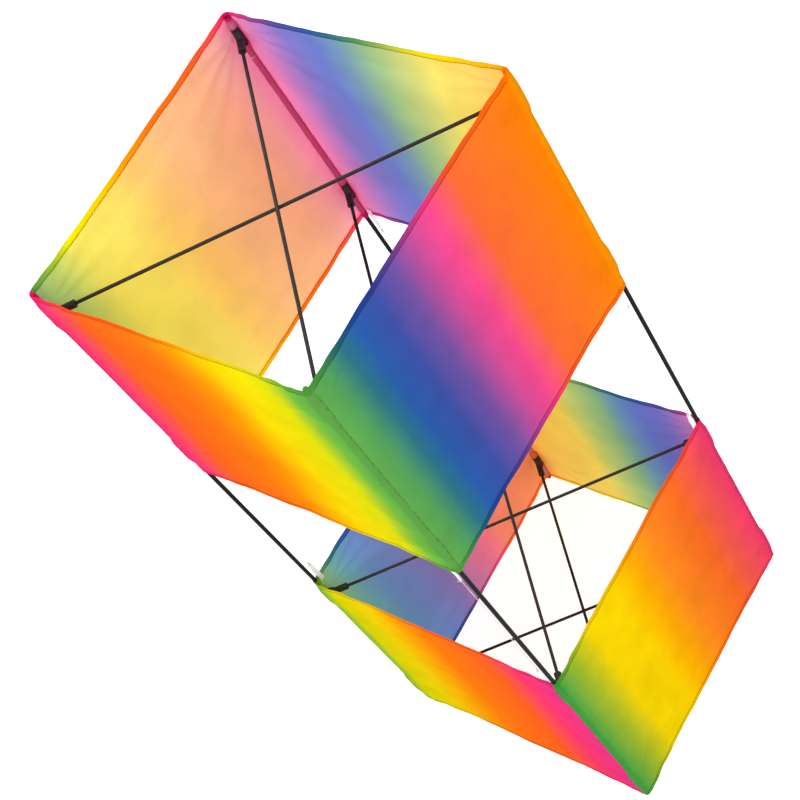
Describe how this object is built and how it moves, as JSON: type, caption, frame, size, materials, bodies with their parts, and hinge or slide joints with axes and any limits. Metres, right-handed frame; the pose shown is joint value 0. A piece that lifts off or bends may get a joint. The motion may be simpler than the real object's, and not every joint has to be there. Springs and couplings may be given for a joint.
{
  "type": "box kite",
  "caption": "Rainbow two-cell box kite: square cloth cells on tube longerons, held open by crossed spreader rods in clip-on sockets.",
  "frame": {"origin": "centre of the kite's bounding box at the level that the lower cell stands on", "axes": "+Z along the longerons from the lower cell to the upper cell, X and Y square to the panels, front panel towards -Y"},
  "size_m": [0.3784, 0.3784, 1.016],
  "materials": {
    "longeron_tube": "satin drawn fibreglass tube",
    "spreader_rod": "satin pultruded fibreglass rod",
    "fitting_rubbery_plastic": "matte moulded soft PVC",
    "sail_cloth_upper": "rainbow-printed ripstop polyester",
    "sail_cloth_lower": "rainbow-printed ripstop polyester",
    "pocket_cloth": "ripstop polyester sleeve, printed as the sail",
    "webbing": "woven white tape",
    "tension_line": "clear nylon monofilament"
  },
  "bodies": {
    "front_frame": {"longeron_front_left": "longeron_tube", "longeron_front_right": "longeron_tube", "pocket_upper_fl": "pocket_cloth", "pocket_lower_fl": "pocket_cloth", "pocket_upper_fr": "pocket_cloth", "pocket_lower_fr": "pocket_cloth", "panel_upper_front": "sail_cloth_upper", "panel_lower_front": "sail_cloth_lower", "tab_upper_front": "webbing", "tab_lower_front": "webbing", "line_front": "tension_line", "fitting_upper_outer_fr": "fitting_rubbery_plastic", "fitting_upper_inner_fr": "fitting_rubbery_plastic", "fitting_lower_inner_fr": "fitting_rubbery_plastic", "fitting_lower_outer_fr": "fitting_rubbery_plastic", "spreader_upper_outer_fr_bl": "spreader_rod", "spreader_upper_inner_fr_bl": "spreader_rod", "spreader_lower_inner_fr_bl": "spreader_rod", "spreader_lower_outer_fr_bl": "spreader_rod"},
    "left_side": {"panel_upper_left": "sail_cloth_upper", "panel_lower_left": "sail_cloth_lower", "tab_upper_left": "webbing", "tab_lower_left": "webbing", "line_left": "tension_line", "longeron_back_left": "longeron_tube", "pocket_upper_bl": "pocket_cloth", "pocket_lower_bl": "pocket_cloth", "fitting_upper_outer_bl": "fitting_rubbery_plastic", "fitting_upper_inner_bl": "fitting_rubbery_plastic", "fitting_lower_inner_bl": "fitting_rubbery_plastic", "fitting_lower_outer_bl": "fitting_rubbery_plastic"},
    "right_side": {"panel_upper_right": "sail_cloth_upper", "panel_lower_right": "sail_cloth_lower", "tab_upper_right": "webbing", "tab_lower_right": "webbing", "line_right": "tension_line", "longeron_back_right": "longeron_tube", "pocket_upper_br": "pocket_cloth", "pocket_lower_br": "pocket_cloth"},
    "back_side": {"panel_upper_back": "sail_cloth_upper", "panel_lower_back": "sail_cloth_lower", "tab_upper_back": "webbing", "tab_lower_back": "webbing", "line_back": "tension_line"},
    "br_spreaders": {"fitting_upper_outer_br": "fitting_rubbery_plastic", "fitting_upper_inner_br": "fitting_rubbery_plastic", "fitting_lower_inner_br": "fitting_rubbery_plastic", "fitting_lower_outer_br": "fitting_rubbery_plastic", "spreader_upper_outer_fl_br": "spreader_rod", "spreader_upper_inner_fl_br": "spreader_rod", "spreader_lower_inner_fl_br": "spreader_rod", "spreader_lower_outer_fl_br": "spreader_rod"},
    "fl_fittings": {"fitting_upper_outer_fl": "fitting_rubbery_plastic", "fitting_upper_inner_fl": "fitting_rubbery_plastic", "fitting_lower_inner_fl": "fitting_rubbery_plastic", "fitting_lower_outer_fl": "fitting_rubbery_plastic"}
  },
  "joints": [
    {"name": "frame_rack", "type": "hinge", "parent": "front_frame", "child": "right_side", "pos_m": [0.1835, -0.1835, 0], "axis": [0, 0, -1], "range_deg": [0, 25], "stiffness_Nm_per_rad": 8, "deforming": ["spreader_upper_outer_fr_bl", "spreader_upper_inner_fr_bl", "spreader_lower_inner_fr_bl", "spreader_lower_outer_fr_bl"]},
    {"name": "left_side_rack", "type": "hinge", "parent": "front_frame", "child": "left_side", "pos_m": [-0.1835, -0.1835, 0], "axis": [0, 0, -1], "range_deg": [0, 25]},
    {"name": "back_side_rack", "type": "hinge", "parent": "right_side", "child": "back_side", "pos_m": [0.1835, 0.1835, 0], "axis": [0, 0, -1], "range_deg": [-25, 0]},
    {"name": "back_right_fittings_swing", "type": "hinge", "parent": "right_side", "child": "br_spreaders", "pos_m": [0.1835, 0.1835, 0], "axis": [0, 0, -1], "range_deg": [-12.5, 0]},
    {"name": "front_left_fittings_swing", "type": "hinge", "parent": "front_frame", "child": "fl_fittings", "pos_m": [-0.1835, -0.1835, 0], "axis": [0, 0, -1], "range_deg": [0, 12.5]}
  ],
  "couplings": [
    {"joint": "left_side_rack", "follows": "frame_rack", "ratio": 1},
    {"joint": "back_side_rack", "follows": "frame_rack", "ratio": -1},
    {"joint": "back_right_fittings_swing", "follows": "frame_rack", "ratio": -0.5},
    {"joint": "front_left_fittings_swing", "follows": "frame_rack", "ratio": 0.5}
  ]
}
